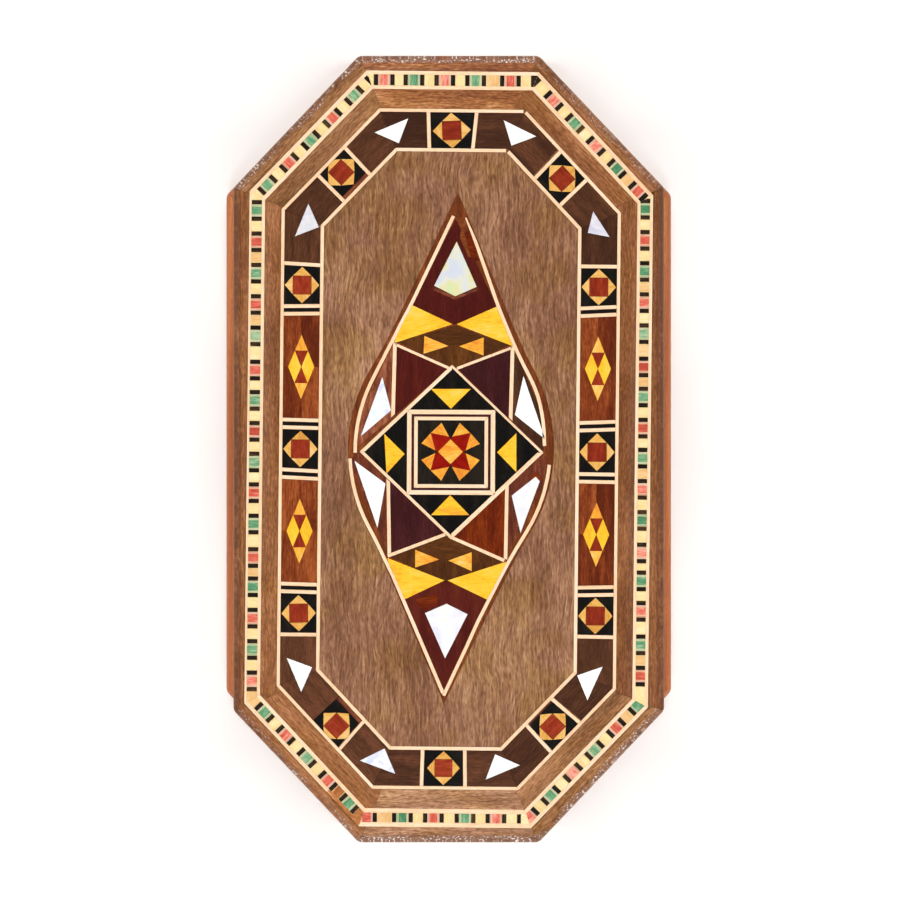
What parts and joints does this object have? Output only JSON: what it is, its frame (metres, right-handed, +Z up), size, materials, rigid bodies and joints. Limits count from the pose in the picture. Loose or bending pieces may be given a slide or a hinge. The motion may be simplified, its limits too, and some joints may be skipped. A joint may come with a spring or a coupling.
{
  "type": "shell box",
  "caption": "Elongated octagonal wooden box on a plinth, with a lift-off lid inlaid with marquetry, a mosaic band and mother-of-pearl.",
  "frame": {"origin": "middle of the underside of the plinth", "axes": "+Z up out of the lid, +Y along the length of the box, +X across its width"},
  "size_m": [0.1388, 0.2396, 0.062],
  "materials": {
    "plinth_wood": "orange-brown varnished softwood, satin",
    "wall_veneer": "walnut veneer, satin varnish",
    "lid_frame_wood": "walnut frame boards, glossy varnish",
    "lid_field_wood": "light walnut, satin varnish",
    "mosaic_tesserae": "micro-mosaic of cream, black, green and red wood tesserae, varnished",
    "cream_stringing": "cream boxwood lines, varnished",
    "star_tesserae": "ebonised wood with yellow and red-brown tesserae, varnished",
    "lozenge_tesserae": "red-brown wood with yellow and dark red tesserae, varnished",
    "corner_wood": "dark walnut, varnished",
    "mother_of_pearl": "polished mother-of-pearl, faint iridescence",
    "medallion_tesserae": "maroon, brown and yellow wood tesserae with cream lines, varnished"
  },
  "bodies": {
    "root": {"border_stringing": "cream_stringing", "corner_block_back_left_to_left": "corner_wood", "corner_block_back_right_to_back": "corner_wood", "corner_block_back_to_back_left": "corner_wood", "corner_block_front_left_to_front": "corner_wood", "corner_block_front_right_to_right": "corner_wood", "corner_block_front_to_front_right": "corner_wood", "corner_block_left_to_front_left": "corner_wood", "corner_block_right_to_back_right": "corner_wood", "corner_shell_back_left_to_left": "mother_of_pearl", "corner_shell_back_right_to_back": "mother_of_pearl", "corner_shell_back_to_back_left": "mother_of_pearl", "corner_shell_front_left_to_front": "mother_of_pearl", "corner_shell_front_right_to_right": "mother_of_pearl", "corner_shell_front_to_front_right": "mother_of_pearl", "corner_shell_left_to_front_left": "mother_of_pearl", "corner_shell_right_to_back_right": "mother_of_pearl", "kite_shell_back": "mother_of_pearl", "kite_shell_front": "mother_of_pearl", "lid_frame_back": "lid_frame_wood", "lid_frame_back_left": "lid_frame_wood", "lid_frame_back_right": "lid_frame_wood", "lid_frame_front": "lid_frame_wood", "lid_frame_front_left": "lid_frame_wood", "lid_frame_front_right": "lid_frame_wood", "lid_frame_left": "lid_frame_wood", "lid_frame_right": "lid_frame_wood", "lid_panel": "lid_field_wood", "lozenge_block_left_1": "lozenge_tesserae", "lozenge_block_left_2": "lozenge_tesserae", "lozenge_block_right_1": "lozenge_tesserae", "lozenge_block_right_2": "lozenge_tesserae", "medallion": "medallion_tesserae", "mosaic_band": "mosaic_tesserae", "plinth": "plinth_wood", "side_shell_back_left": "mother_of_pearl", "side_shell_back_right": "mother_of_pearl", "side_shell_front_left": "mother_of_pearl", "side_shell_front_right": "mother_of_pearl", "star_block_back": "star_tesserae", "star_block_back_left": "star_tesserae", "star_block_back_right": "star_tesserae", "star_block_front": "star_tesserae", "star_block_front_left": "star_tesserae", "star_block_front_right": "star_tesserae", "star_block_left_1": "star_tesserae", "star_block_left_2": "star_tesserae", "star_block_left_3": "star_tesserae", "star_block_right_1": "star_tesserae", "star_block_right_2": "star_tesserae", "star_block_right_3": "star_tesserae", "star_square": "star_tesserae", "wall_back": "wall_veneer", "wall_back_left": "wall_veneer", "wall_back_right": "wall_veneer", "wall_front": "wall_veneer", "wall_front_left": "wall_veneer", "wall_front_right": "wall_veneer", "wall_left": "wall_veneer", "wall_right": "wall_veneer"}
  },
  "joints": []
}
